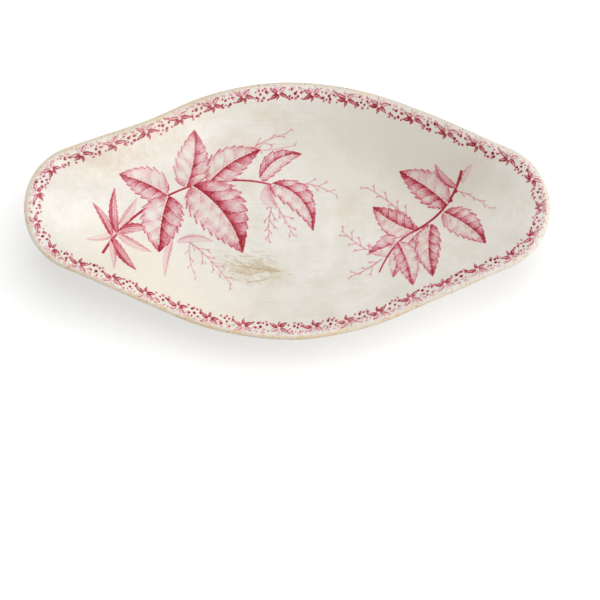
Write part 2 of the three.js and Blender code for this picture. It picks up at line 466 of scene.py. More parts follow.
    def twig(self, line, tone, shoots=7, reach=4.0):
        """A faint stem that thins out, with uneven side shoots that fork at their ends."""
        self.stroke(line, (TWIG_WIDTH, TWIG_WIDTH * TWIG_END), tone)
        shoot_widths = [TWIG_WIDTH * width for width in SHOOT_WIDTHS]
        fork_widths = [TWIG_WIDTH * width for width in FORK_WIDTHS]
        steps = len(line) - 1
        for index, place in enumerate(np.linspace(*SHOOT_PLACES, shoots)):
            low = min(int(place * steps), steps - 1)
            leg = line[low + 1] - line[low]
            root = line[low] + leg * (place * steps - low)
            hand = 1 if index % 2 else -1
            swing = math.atan2(leg[1], leg[0]) + hand * self.rng.uniform(*SHOOT_SWING)
            span = reach * (1 - SHOOT_SHORTER * place) * self.rng.uniform(*SHOOT_LENGTHS)
            end = root + span * toward(swing)
            self.stroke([root, end], shoot_widths, tone)
            for turn in FORK_TURNS:
                fork = swing + turn + self.rng.normal(0, FORK_STRAY)
                tip = end + span * self.rng.uniform(*FORK_LENGTHS) * toward(fork)
                self.stroke([end, tip], fork_widths, tone * FORK_TONE)

    def dot(self, centre, radius, tone, hollow=0.0):
        found = self.near(centre, radius + SEARCH_ROOM)
        gap = np.linalg.norm(self.plan[found] - np.asarray(centre, float), axis=1)
        cover = 1 - soft_step(-SOFT_EDGE, SOFT_EDGE, gap - radius)
        self.lay(found, cover, np.where(gap < hollow, HOLLOW_TONE, tone))


# The two sprays, drawn from the back to the front. A twig has a line, tone, count of shoots and their
# reach; a stroke a line, widths and tone; a blade its base, tip, half width, bend, tone and dark side; a
# leaf its base, tip, half width, bend, teeth, veins, tone and dark side.
def left_spray(ink):
    ink.twig(bow((-19, 27), (-12, 33), (0, 36)), 0.34, 6, 5)
    ink.twig(bow((-15, 29), (-8, 28), (4, 31)), 0.28, 4, 3)
    ink.twig(bow((4, 13), (12, 15), (23, 8)), 0.32, 7, 4)
    ink.twig(bow((-6, 6), (-9, -2), (-8, -13)), 0.38, 8, 4)
    ink.twig(bow((-5, 4), (0, -4), (3, -10)), 0.34, 6, 3.4)
    ink.twig(bow((-46, -12), (-36, -18), (-25, -33)), 0.34, 9, 5)
    ink.twig(bow((-44, -14), (-45, -22), (-41, -30)), 0.26, 5, 3)
    ink.blade((-52, -12), (-55, -30), 1.6, -0.06, 0.36)
    ink.blade((-50, -13), (-33, -13), 1.9, 0.10, 0.32)
    ink.stroke(bow((-83, -19), (-72, 2), (-45, 12)), (1.2, 0.8), 0.72)
    ink.stroke(bow((-45, 12), (-22, 18), (-5, 12.5)), (0.8, 0.7), 0.72)
    node = (-77, -9.5)
    ink.blade(node, (-91, -13), 1.7, 0.05, 0.30)
    ink.blade((-76, -6), (-68, 7), 2.2, -0.05, 0.34)
    ink.blade((-79, -11), (-88, 4), 1.8, -0.05, 0.9)
    ink.blade(node, (-78, 11), 2.2, 0.06, 1.0)
    ink.blade(node, (-61, -7), 2.4, 0.10, 0.8)
    ink.blade(node, (-61, -18), 2.0, -0.04, 0.42)
    ink.blade((-79, -12), (-68, -27), 2.3, -0.05, 1.0, -1)
    ink.blade((-80, -13), (-78, -27), 1.5, 0.05, 0.40)
    ink.leaf((-36, 14), (-12, 29), 7.8, 0.08, 7, 5, 0.9, -1)
    ink.leaf((-46, 12), (-42, 37), 8.2, -0.06, 7, 5, 0.85, -1)
    ink.leaf((-54, 8.5), (-76, 17), 7.6, -0.06, 7, 5, 0.9, 1)
    ink.leaf((-54, 8), (-58, -18), 10.0, -0.05, 8, 5, 1.0, 1)
    ink.leaf((-43, 12.5), (-20, -18), 12.5, 0.10, 10, 6, 1.0, 1)
    ink.leaf((-12, 15.5), (7, 27), 4.8, 0.16, 5, 4, 0.95, 1)
    ink.blade((-9, 13.5), (-3, 2), 3.4, -0.22, 0.36)
    ink.leaf((-7, 13.5), (12, -8), 6.6, 0.18, 7, 5, 0.95, 1)


def right_spray(ink):
    ink.twig(bow((57, -5), (50, 4), (36, 12)), 0.40, 8, 4.4)
    ink.twig(bow((45, -19), (35, -18), (25, -8)), 0.38, 9, 5)
    ink.twig(bow((43, -21), (37, -26), (29, -29)), 0.36, 6, 3.4)
    ink.twig(bow((76, 10), (84, 8), (92, 1)), 0.30, 6, 3.4)
    ink.blade((79, 13), (84, 21), 1.7, 0.06, 0.30)
    ink.leaf((60, -7), (37, -18), 7.4, 0.06, 7, 5, 0.62, -1)
    ink.leaf((60, -8), (48, -30), 6.0, -0.10, 7, 5, 0.56, 1)
    ink.stroke(bow((79, 18), (75, 0), (57, -8.5)), (1.1, 0.8), 0.82)
    ink.stroke(bow((57, -8.5), (48, -13), (42, -27)), (0.8, 0.6), 0.75)
    ink.leaf((57, -8), (39, 3), 6.4, 0.06, 7, 5, 1.0, -1)
    ink.leaf((51, -13), (57, -34), 5.6, 0.05, 7, 5, 0.85, -1)
    ink.leaf((73, 4), (51, 19), 7.6, -0.05, 8, 6, 1.0, 1)
    ink.leaf((65, -5), (66, -30), 6.0, -0.06, 8, 6, 1.0, 1)
    ink.leaf((71, 0), (90, -15), 6.8, 0.07, 8, 6, 1.0, 1)
    ink.blade((77, 11), (67, 22), 1.9, 0.10, 0.75)
    for knot in ((78.3, 15), (76.5, 9.5), (74.4, 5.5)):
        ink.dot(knot, 0.8, 0.9)


# Border: count of stars, reach in from the rim, and drift, with its waves' count, size and phase. The ink
# is heavier at the back than at the front, has a contrast and a deepest tone, and starts inside the lip.
BORDER_COUNT = 35
BORDER_REACH = 9.0
BORDER_DRIFT = ((2, 0.30, 0.6), (3, 0.22, 2.0))
BORDER_HEAVY = (1.55, 1.92)
BORDER_FRONT, BORDER_BACK = -30, 40
BORDER_CONTRAST = 1.6
BORDER_DEEPEST = 1.18
BORDER_START = (0.8, 1.5)
# Star: its depth and the strays of its place, then each leaf's heading in degrees from the run of the rim,
# turning inwards, its length, half width, tone and fill
STAR_DEPTH = 4.7
STAR_STRAY_RUN = 0.35
STAR_STRAY_DEPTH = 0.2
STAR_MIDDLE = 0.6
STAR_TAPER = 1.3
STAR_BEND = 0.05
STAR_STRAY_TURN = 7
STAR_LENGTHS = (0.85, 1.1)
STAR_TONES = (0.8, 1.05)
STAR_LEAVES = (
    (-106, 3.7, 0.75, 0.65, 0.4),
    (-62, 4.2, 0.75, 0.70, 0.45),
    (-150, 5.2, 0.85, 0.85, 0.75),
    (-24, 5.8, 0.80, 0.95, 1.0),
    (163, 5.8, 0.80, 1.05, 1.4),
    (22, 5.0, 0.85, 1.1, 1.6),
    (88, 3.5, 0.70, 1.1, 1.6),
)
# Between two stars: small leaves with base, tip, half width and tone, then berries with their place along
# the run, depth from the rim, radius and tone, and hollow berries with place, depth and radius
BERRY_LEAF_BEND = 0.06
BERRY_LEAVES = (
    ((-3.0, 3.2), (-1.0, 1.8), 0.55, 0.50),
    ((0.4, 2.7), (2.6, 1.8), 0.55, 0.50),
    ((-2.4, 5.0), (-4.2, 3.8), 0.45, 0.60),
    ((2.2, 5.6), (4.0, 6.6), 0.45, 0.60),
)
BERRY_STRAY = 0.32
BERRY_SIZES = (0.8, 1.25)
BERRY_TONES = (0.7, 1.1)
BERRIES = (
    (-3.4, 6.9, 0.40, 0.8),
    (-2.1, 4.3, 0.46, 0.8),
    (-1.3, 6.4, 0.52, 1.0),
    (-0.3, 3.6, 0.38, 0.6),
    (0.5, 4.9, 0.55, 1.0),
    (1.2, 6.8, 0.44, 0.9),
    (1.9, 3.8, 0.42, 0.7),
    (2.9, 6.0, 0.44, 0.9),
    (3.4, 3.4, 0.34, 0.5),
    (-1.6, 2.8, 0.32, 0.5),
)
BERRY_RINGS = ((-0.3, 7.3, 0.60), (2.5, 7.4, 0.52))
RING_STRAY = 0.2
RING_TONE = 0.6
RING_HOLLOW = 0.45


def border_star(ink, at, rng):
    for degrees, length, half_width, tone, fill in STAR_LEAVES:
        ahead = toward(math.radians(degrees + rng.normal(0, STAR_STRAY_TURN)))
        tip = at + length * rng.uniform(*STAR_LENGTHS) * ahead
        base = at + STAR_MIDDLE * ahead
        tone = tone * rng.uniform(*STAR_TONES)
        ink.blade(base, tip, half_width, STAR_BEND, tone, taper=STAR_TAPER, fill=fill)


def border_berries(ink, at, rng):
    for base, tip, half_width, tone in BERRY_LEAVES:
        ink.blade(at + base, at + tip, half_width, BERRY_LEAF_BEND, tone)
    for x, y, radius, tone in BERRIES:
        spot = at + (x, y) + rng.normal(0, BERRY_STRAY, 2)
        ink.dot(spot, radius * rng.uniform(*BERRY_SIZES), tone * rng.uniform(*BERRY_TONES))
    for x, y, radius in BERRY_RINGS:
        spot = at + (x, y) + rng.normal(0, RING_STRAY, 2)
        ink.dot(spot, radius, RING_TONE, radius * RING_HOLLOW)


def border(plan):
    """Ink of the leaf and berry border, drawn on the run of the rim and the depth in from it."""
    run, depth = rim_place(plan)
    band = depth < BORDER_REACH
    level = depth + waves(run / (4 * QUARTER_RUN), BORDER_DRIFT)
    ink = Ink(np.c_[run, level][band])
    pitch = 4 * QUARTER_RUN / BORDER_COUNT
    for cell in range(-1, BORDER_COUNT + 1):
        rng = np.random.default_rng(SEED + cell % BORDER_COUNT)
        middle = cell * pitch + rng.normal(0, STAR_STRAY_RUN)
        border_berries(ink, np.array([middle + pitch / 2, 0.0]), rng)
        border_star(ink, np.array([middle, STAR_DEPTH + rng.normal(0, STAR_STRAY_DEPTH)]), rng)
    density = np.zeros(len(plan))
    heavy = mix(*BORDER_HEAVY, soft_step(BORDER_FRONT, BORDER_BACK, plan[band, 1]))
    deep = np.minimum(ink.density ** BORDER_CONTRAST * heavy, BORDER_DEEPEST)
    density[band] = deep * soft_step(*BORDER_START, depth[band])
    return density


# An old spill on the floor of the bowl: brown strands most of which run one way, trails drawn to one end,
# and drops. Pairs give the least and the most of a random draw, or a width at the start and the end.
SPILL_CENTRE = np.array([-17.5, -25.0])
SPILL_SPREAD = np.array([6.5, 3.4])
SPILL_END = np.array([-1.0, -27.0])
STRAND_COUNT = 70
STRAND_HEADING = math.radians(-18)
STRAND_SWING = 0.3
STRAND_LENGTHS = (1, 7)
STRAND_BOW = 0.6
STRAND_POINTS = 6
STRAND_WIDTHS = (0.3, 0.2)
STRAND_TONES = (0.1, 0.75)
TRAIL_COUNT = 14
TRAIL_START = (-0.3, 0.8)
TRAIL_BOW = 0.9
TRAIL_ENDS = (0.5, 1.0)
TRAIL_POINTS = 8
TRAIL_WIDTHS = (0.35, 0.15)
TRAIL_TONES = (0.3, 0.8)
DROP_COUNT = 40
DROP_START = (0.2, 1.1)
DROP_SIZES = (0.2, 0.6)
DROP_TONES = (0.1, 0.6)


def spilled(plan):
    """Density of the spill's strands, trails and drops."""
    spill = Ink(plan)
    rng = spill.rng
    for _ in range(STRAND_COUNT):
        start = SPILL_CENTRE + SPILL_SPREAD * rng.normal(0, 1, 2)
        ahead = toward(STRAND_HEADING + rng.normal(0, STRAND_SWING))
        end = start + rng.uniform(*STRAND_LENGTHS) * ahead
        middle = (start + end) / 2 + rng.normal(0, STRAND_BOW, 2)
        spill.stroke(bow(start, middle, end, STRAND_POINTS), STRAND_WIDTHS, rng.uniform(*STRAND_TONES))
    for _ in range(TRAIL_COUNT):
        start = SPILL_CENTRE + SPILL_SPREAD * rng.normal(*TRAIL_START, 2)
        middle = mix(start, SPILL_END, 0.5) + rng.normal(0, TRAIL_BOW, 2)
        end = mix(start, SPILL_END, rng.uniform(*TRAIL_ENDS))
        spill.stroke(bow(start, middle, end, TRAIL_POINTS), TRAIL_WIDTHS, rng.uniform(*TRAIL_TONES))
    for _ in range(DROP_COUNT):
        spot = SPILL_CENTRE + SPILL_SPREAD * rng.normal(*DROP_START, 2)
        spill.dot(spot, rng.uniform(*DROP_SIZES), rng.uniform(*DROP_TONES))
    return spill.density


def printed(plan):
    """Ink of the whole print, and the depth in from the rim."""
    ink = Ink(plan)
    left_spray(ink)
    right_spray(ink)
    return np.maximum(ink.density, border(plan)), rim_place(plan)[1]


# Meshes
def mesh_piece(name, points, faces, material, node):
    mesh = bpy.data.meshes.new(name)
    points = np.asarray(points, np.float32) * MM
    loops = np.asarray([v for face in faces for v in face], np.int32)
    sizes = np.array([len(face) for face in faces], np.int32)
    mesh.vertices.add(len(points))
    mesh.vertices.foreach_set("co", points.ravel())
    mesh.loops.add(len(loops))
    mesh.loops.foreach_set("vertex_index", loops)
    mesh.polygons.add(len(sizes))
    mesh.polygons.foreach_set("loop_start", np.r_[0, np.cumsum(sizes)[:-1]].astype(np.int32))
    mesh.polygons.foreach_set("use_smooth", np.ones(len(sizes), bool))
    mesh.update(calc_edges=True)
    mesh.validate()
    mesh.materials.append(material)
    piece = bpy.data.objects.new(name, mesh)
    bpy.context.scene.collection.objects.link(piece)
    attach(piece, "root")
    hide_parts(node)
    return piece


def strip_faces(lower, upper):
    """Quads between two loops of point numbers."""
    beside = np.roll(lower, -1), np.roll(upper, -1)
    return np.c_[lower, beside[0], beside[1], upper].tolist()


def at_height(plan, z):
    return np.c_[plan, np.broadcast_to(z, len(plan))]


def shell_grid():
    """Stations and shares out from the middle for a square grid laid over the bowl."""
    even = [np.linspace(-1, 1, count + 1) for count in (GRID_LONG, GRID_SHORT)]
    across, up = np.meshgrid(*[math.sqrt(2) * np.sin(np.pi / 4 * e) for e in even], indexing="ij")
    disc = np.stack([across * np.sqrt(1 - up ** 2 / 2), up * np.sqrt(1 - across ** 2 / 2)], axis=-1)
    disc = disc.reshape(-1, 2)
    out = np.minimum(np.linalg.norm(disc, axis=1), 1)
    turn = np.arctan2(np.abs(disc[:, 1]), np.abs(disc[:, 0])) / (np.pi / 4)
    corner = GRID_SHORT / (GRID_LONG + GRID_SHORT)
    q = np.where(turn < 1, corner * turn, corner + (1 - corner) * (turn - 1))
    signs = np.where(disc >= 0, 1, -1)
    return Stations(np.clip(q, 0, 1), signs[:, 0], signs[:, 1]), out


def grid_loop():
    """Point numbers round the grid's edge, counter-clockwise from the middle of the +X side."""
    number = np.arange((GRID_LONG + 1) * (GRID_SHORT + 1)).reshape(GRID_LONG + 1, GRID_SHORT + 1)
    east, north = number[-1, :], number[:, -1][::-1]
    west, south = number[0, ::-1], number[:, 0]
    loop = np.r_[east[:-1], north[:-1], west[:-1], south[:-1]]
    return np.roll(loop, -(GRID_SHORT // 2)), number


def bowl_points(stations, out):
    floor = stations.oval(BASE_LENGTH - 2 * FLOOR_INSET, BASE_WIDTH - 2 * FLOOR_INSET)
    edge, edge_height = stations.lip(math.pi - LIP_TILT)
    floor_run = np.linalg.norm(floor, axis=1)
    wall_run = np.linalg.norm(edge - floor, axis=1)
    turn_in = floor_run / (floor_run + wall_run)
    share = np.clip((out - turn_in) / (1 - turn_in), 0, 1)
    on_floor = floor * np.minimum(out / turn_in, 1)[:, None]
    plan = on_floor + (edge - floor) * share[:, None]
    rise = share ** 2 * (1 + INNER_FULLNESS * (1 - share))
    return at_height(plan, mix(FLOOR_HEIGHT, edge_height, rise))


def dish_shell(material):
    stations, out = shell_grid()
    grid = bowl_points(stations, out)
    loop, number = grid_loop()
    edge = Stations(stations.q[loop], *stations.signs[loop].T)
    faces = np.stack([number[:-1, :-1], number[1:, :-1], number[1:, 1:], number[:-1, 1:]], axis=-1)
    faces = faces.reshape(-1, 4).tolist()
    inside_faces = len(faces)
    rings = []
    angles = np.linspace(math.pi - LIP_TILT, -LIP_TILT, LIP_STEPS + 1)[1:]
    for angle in angles:
        rings.append(at_height(*edge.lip(angle)))
    low_plan = edge.oval(BASE_LENGTH, BASE_WIDTH)
    lip_plan, lip_height = edge.lip(-LIP_TILT)
    for step in range(1, OUTER_STEPS + 1):
        share = 1 - step / OUTER_STEPS * (1 - WALL_FOOT)
        height = mix(BASE_HEIGHT, lip_height, share ** OUTER_BOW)
        rings.append(at_height(mix(low_plan, lip_plan, share), height))
    for inset in BASE_RINGS:
        plan = edge.oval(BASE_LENGTH - 2 * inset, BASE_WIDTH - 2 * inset)
        rings.append(at_height(plan, BASE_HEIGHT))
    points = [grid]
    before = loop
    start = len(grid)
    upper_faces = inside_faces
    for index, ring in enumerate(rings):
        here = start + np.arange(len(loop))
        faces += strip_faces(here, before)
        if index < LIP_STEPS and angles[index] >= LIP_CREST:
            upper_faces = len(faces)
        points.append(ring)
        before, start = here, start + len(loop)
    points.append([[0, 0, BASE_HEIGHT]])
    faces += [[int(b), int(a), start] for a, b in zip(before, np.roll(before, -1))]
    points = np.vstack(points)
    piece = mesh_piece("dish_shell", points, faces, material, "dish_body")
    lip_end = len(grid) + LIP_STEPS * len(loop)
    ink, stain, outside = np.zeros((3, len(points)))
    rim_depth = np.full(len(points), FAR_FROM_RIM)
    seen_from_above = points[:lip_end, :2]
    ink[:lip_end], rim_depth[:lip_end] = printed(seen_from_above)
    stain[:lip_end] = spilled(seen_from_above)
    outside[lip_end:] = 1
    layers = {"ink": ink, "stain": stain, "rim_depth": rim_depth, "outside": outside}
    for name, values in layers.items():
        layer = piece.data.attributes.new(name, "FLOAT", "POINT")
        layer.data.foreach_set("value", values.astype(np.float32))
    bake_map(piece, points, upper_faces, len(grid), len(loop))
    return piece


def bake_map(piece, points, upper_faces, grid_count, around):
    """A map for baking: the bowl laid flat in its upper half, the outside in its lower half."""
    inner = points[:, :2] / BAKE_ROOM + (0.5, 0.75)
    outer_plan = points[:, :2].copy()
    last_lip = grid_count + (LIP_STEPS - 1) * around
    lip_loop = points[last_lip:last_lip + around, :2]
    out = straight_out(lip_loop)
    for step in range(LIP_STEPS):
        first = grid_count + step * around
        spread = WALL / 2 * math.pi * (1 - (step + 1) / LIP_STEPS)
        outer_plan[first:first + around] = lip_loop + out * spread
    outer = outer_plan / BAKE_ROOM + (0.5, 0.25)
    mesh = piece.data
    corner = np.zeros(len(mesh.loops), np.int32)
    mesh.loops.foreach_get("vertex_index", corner)
    starts = np.zeros(len(mesh.polygons), np.int32)
    mesh.polygons.foreach_get("loop_start", starts)
    upper = np.arange(len(corner)) < starts[upper_faces]
    layer = mesh.uv_layers.new(name="OFBake")
    spots = np.where(upper[:, None], inner[corner], outer[corner])
    layer.data.foreach_set("uv", spots.astype(np.float32).ravel())


def straight_out(loop):
    """Directions straight out of a counter-clockwise loop of plan points."""
    along = np.roll(loop, -1, axis=0) - np.roll(loop, 1, axis=0)
    along /= np.linalg.norm(along, axis=1)[:, None]
    return np.c_[along[:, 1], -along[:, 0]]


def ring_piece(name, sections, material, node):
    """A closed ring from loops of points, one loop for each step round its section."""
    around = len(sections[0])
    faces = []
    for index in range(len(sections)):
        here = index * around + np.arange(around)
        there = (index + 1) % len(sections) * around + np.arange(around)
        faces += strip_faces(here, there)
    return mesh_piece(name, np.vstack(sections), faces, material, node)


def foot_ring(material):
    loop = even_loop(RING_STATIONS)

    def inset_ring(length, width, inset, z):
        return at_height(loop.oval(length - 2 * inset, width - 2 * inset), z)

    sections = []
    for turn in np.linspace(math.pi / 2, 0, FOOT_EDGE_STEPS):
        inset = FOOT_EDGE * (1 - math.cos(turn))
        sections.append(inset_ring(FOOT_LENGTH, FOOT_WIDTH, inset, FOOT_EDGE * (1 - math.sin(turn))))
    for share in np.linspace(0, 1, FOOT_WALL_STEPS)[1:]:
        z = mix(FOOT_EDGE, FOOT_HEIGHT - FOOT_TOP_EDGE, share)
        flare = ((z - FOOT_EDGE) / (FOOT_HEIGHT - FOOT_EDGE)) ** FOOT_BOW
        length = mix(FOOT_LENGTH, FOOT_TOP_LENGTH, flare)
        width = mix(FOOT_WIDTH, FOOT_TOP_WIDTH, flare)
        sections.append(inset_ring(length, width, 0, z))
    for turn in np.linspace(0, math.pi / 2, FOOT_TOP_STEPS)[1:]:
        inset = FOOT_TOP_EDGE * (1 - math.cos(turn))
        z = FOOT_HEIGHT - FOOT_TOP_EDGE * (1 - math.sin(turn))
        sections.append(inset_ring(FOOT_TOP_LENGTH, FOOT_TOP_WIDTH, inset, z))
    for inset in FOOT_TOP_RINGS:
        sections.append(inset_ring(FOOT_TOP_LENGTH, FOOT_TOP_WIDTH, inset, FOOT_HEIGHT))
    for share in np.linspace(0, 1, FOOT_INSIDE_STEPS)[1:-1]:
        z = mix(FOOT_HEIGHT, FOOT_EDGE, share)
        inset = mix(FOOT_TOP_WALL, FOOT_WALL, share)
        length = mix(FOOT_TOP_LENGTH, FOOT_LENGTH, share)
        width = mix(FOOT_TOP_WIDTH, FOOT_WIDTH, share)
        sections.append(inset_ring(length, width, inset, z))
    for turn in np.linspace(0, math.pi / 2, FOOT_EDGE_STEPS):
        inset = FOOT_WALL - FOOT_EDGE * (1 - math.cos(turn))
        sections.append(inset_ring(FOOT_LENGTH, FOOT_WIDTH, inset, FOOT_EDGE * (1 - math.sin(turn))))
    return ring_piece("foot", sections, material, "foot_ring")


def slip_lute(material):
    loop = even_loop(RING_STATIONS)
    sections = []
    for share in np.linspace(0, 1, LUTE_STEPS):
        inset = LUTE_SET_BACK + LUTE_HOLLOW * math.sin(math.pi * share)
        length = mix(FOOT_TOP_LENGTH, BASE_LENGTH, share ** 2) - 2 * inset
        width = mix(FOOT_TOP_WIDTH, BASE_WIDTH, share ** 2) - 2 * inset
        sections.append(at_height(loop.oval(length, width), mix(FOOT_HEIGHT, BASE_HEIGHT, share)))
    inner = FOOT_TOP_WALL - LUTE_SET_BACK
    for share in np.linspace(0, 1, FILLET_STEPS):
        inset = inner + LUTE_FILLET * (1 - math.sin(math.pi / 2 * share))
        z = BASE_HEIGHT - LUTE_HEIGHT * (1 - math.cos(math.pi / 2 * share))
        plan = loop.oval(FOOT_TOP_LENGTH - 2 * inset, FOOT_TOP_WIDTH - 2 * inset)
        sections.append(at_height(plan, z))
    return ring_piece("lute", sections, material, "slip_lute")


# Materials. Places are in millimetres from the middle of the dish's rest face.
def srgb(red, green, blue):
    values = [channel / 255 for channel in (red, green, blue)]
    linear = [v / 12.92 if v <= 0.04045 else ((v + 0.055) / 1.055) ** 2.4 for v in values]
    return (*linear, 1.0)


IVORY_LIGHT = srgb(245, 242, 235)
IVORY = srgb(237, 233, 223)
CREAM = srgb(251, 245, 231)
USED = srgb(222, 216, 202)
BEIGE = srgb(219, 202, 172)
CRACK = srgb(150, 122, 84)
STAIN = srgb(176, 143, 84)
TAN = srgb(236, 216, 184)
LIP_TAN = srgb(240, 213, 175)
EDGE_TAN = srgb(212, 180, 134)
SPECK = srgb(184, 112, 52)
BARE_CLAY = srgb(203, 182, 146)
# Duller glaze colour of the painted shade on the back wall
PAINTED_SHADE_GLAZE = srgb(224, 218, 206)
# Outside tone: darker and warmer, partly the glaze's own and partly painted shade
OUTSIDE = srgb(223, 214, 189)
TURNED = srgb(200, 191, 168)
# Share of red, green and blue light left by full ink, and how its depth and wear vary
INK_LEFT = (0.50, 0.028, 0.060)
INK_CONTRAST = 1.42
INK_WEAR = (1.35, 1.85)
GLAZE_INDEX = 1.42
# Crackle: scale of the net, width of its lines, and the bending of the lines
CRACK_SCALE = 0.24
CRACK_LINE = 0.075
CRACK_BEND = 2.2
CRACK_BEND_SCALE = 0.35
# Fine ridges left by turning: stretch of their noise, and strength and height of the bump in metres
RIDGES = (0.012, 0.05, 0.35)
BUMP_STRENGTH = 0.08
RIDGE_HEIGHT = 0.0006
LUTE_RIPPLE = 0.0004
# Most of the painted shade on the back wall
PAINTED_SHADE_MOST = 0.8
# How far the whole foot is paled towards cream, as painted light
FOOT_PAINTED_LIGHT = 0.75
LIP_ROUGHER = 0.18
BARE_ROUGHER = 0.5
# An oval patch is full up to this share of its size
SPOT_FULL = 0.25


def put(tree, value, socket):
    """Link a node's output to an input, or set the input to a plain value."""
    if isinstance(value, bpy.types.NodeSocket):
        tree.links.new(value, socket)
    else:
        socket.default_value = value


def add_node(tree, kind, *feeds, **settings):
    """Add a node with its settings and with links or values for its inputs in order; give its outputs."""
    node = tree.nodes.new("ShaderNode" + kind)
    for name, value in settings.items():
        setattr(node, name, value)
    for feed, socket in zip(feeds, node.inputs):
        put(tree, feed, socket)
    return node.outputs


class Shade:
    """A material's node tree, with short calls for the nodes used here."""

    def __init__(self, name):
        self.material = bpy.data.materials.new(name)
        self.material.use_nodes = True
        self.tree = self.material.node_tree
        self.nodes, self.links = self.tree.nodes, self.tree.links
        self.shader = self.nodes["Principled BSDF"]
        metres = add_node(self.tree, "TexCoord")["Object"]
        self.place = self.vector("MULTIPLY", metres, [1 / MM] * 3)

    def put(self, value, socket):
        put(self.tree, value, socket)

    def vector(self, operation, *feeds):
        outputs = add_node(self.tree, "VectorMath", *feeds, operation=operation)
        return outputs["Value" if operation == "LENGTH" else "Vector"]

    def math(self, operation, first, second):
        return add_node(self.tree, "Math", first, second, operation=operation)[0]

    def both(self, first, second):
        return self.math("MULTIPLY", first, second)

    def span(self, value, *limits):
        """From one number to another, or from 0 to 1, eased, while a value goes from low to high."""
        return add_node(self.tree, "MapRange", value, *limits, interpolation_type="SMOOTHSTEP")[0]

    def noise(self, scale, detail=3.0, roughness=0.55, stretch=None, shift=(0, 0, 0)):
        node = self.nodes.new("ShaderNodeTexNoise")
        place = self.vector("ADD", self.place, shift)
        if stretch:
            place = self.vector("MULTIPLY", place, stretch)
        self.put(place, node.inputs["Vector"])
        node.inputs["Scale"].default_value = scale
        node.inputs["Detail"].default_value = detail
        node.inputs["Roughness"].default_value = roughness
        return node.outputs["Fac"]

    def cracks(self):
        """1 on a net of bent lines, 0 between them."""
        wobble = self.nodes.new("ShaderNodeTexNoise")
        self.put(self.place, wobble.inputs["Vector"])
        wobble.inputs["Scale"].default_value = CRACK_BEND_SCALE
        bend = self.vector("MULTIPLY", wobble.outputs["Color"], [CRACK_BEND] * 3)
        node = self.nodes.new("ShaderNodeTexVoronoi")
        node.feature = "DISTANCE_TO_EDGE"
        self.put(self.vector("ADD", self.place, bend), node.inputs["Vector"])
        node.inputs["Scale"].default_value = CRACK_SCALE
        return self.span(node.outputs["Distance"], 0.0, CRACK_LINE, 1.0, 0.0)

    def layer(self, name):
        return add_node(self.tree, "Attribute", attribute_name=name)["Fac"]

    def facing_up(self):
        """1 where the surface faces straight up, 0 where it is upright."""
        return add_node(self.tree, "SeparateXYZ", add_node(self.tree, "NewGeometry")["Normal"])["Z"]

    def blend(self, share, first, second, how="MIX"):
        node = self.nodes.new("ShaderNodeMix")
        node.data_type = "RGBA"
        node.blend_type = how
        self.put(share, node.inputs["Factor"])
        self.put(first, node.inputs[6])
        self.put(second, node.inputs[7])
        return node.outputs[2]

    def spot(self, centre, half_sizes, angle=0.0):
        """1 at a place on the dish, falling to 0 at an oval round it."""
        feeds = self.place, centre, (0, 0, angle), half_sizes
        mapped = add_node(self.tree, "Mapping", *feeds, vector_type="TEXTURE")[0]
        return self.span(self.vector("LENGTH", mapped), SPOT_FULL, 1.0, 1.0, 0.0)

    def ridged(self):
        self.bump(self.noise(1.0, 1, 0.5, stretch=RIDGES), RIDGE_HEIGHT)

    def bump(self, height, distance):
        node = self.nodes.new("ShaderNodeBump")
        node.inputs["Strength"].default_value = BUMP_STRENGTH
        node.inputs["Distance"].default_value = distance
        self.put(height, node.inputs["Height"])
        self.links.new(node.outputs["Normal"], self.shader.inputs["Normal"])

    def patch(self, colour, tint, oval, cloud, *limits):
        """Tint an oval patch, more where a cloud of noise is dense."""
        where = self.both(self.spot(*oval), self.span(self.noise(*cloud), *limits))
        return self.blend(where, colour, tint)

    def ivory(self):
        """Ivory glaze: cloudy, with beige patches, faint streaks and fine crackle."""
        cloud = self.span(self.noise(0.09, 4), 0.32, 0.68)
        colour = self.blend(cloud, IVORY, IVORY_LIGHT)
        patch = self.span(self.noise(0.030, 4, 0.6, shift=(31, 7, 3)), 0.52, 0.80, 0, 0.55)
        colour = self.blend(patch, colour, BEIGE)
        streak = self.span(self.noise(1.0, 3, 0.6, stretch=(0.02, 0.55, 0.9)), 0.45, 0.75, 0, 0.22)
        colour = self.blend(streak, colour, BEIGE)
        where = self.span(self.noise(0.05, 2, shift=(5, 50, 9)), 0.35, 0.65, 0.01, 0.08)
        return self.blend(self.both(self.cracks(), where), colour, CRACK)

    def finish(self, colour, roughness):
        self.put(colour, self.shader.inputs["Base Color"])
        self.put(roughness, self.shader.inputs["Roughness"])
        self.shader.inputs["IOR"].default_value = GLAZE_INDEX
        return self.material


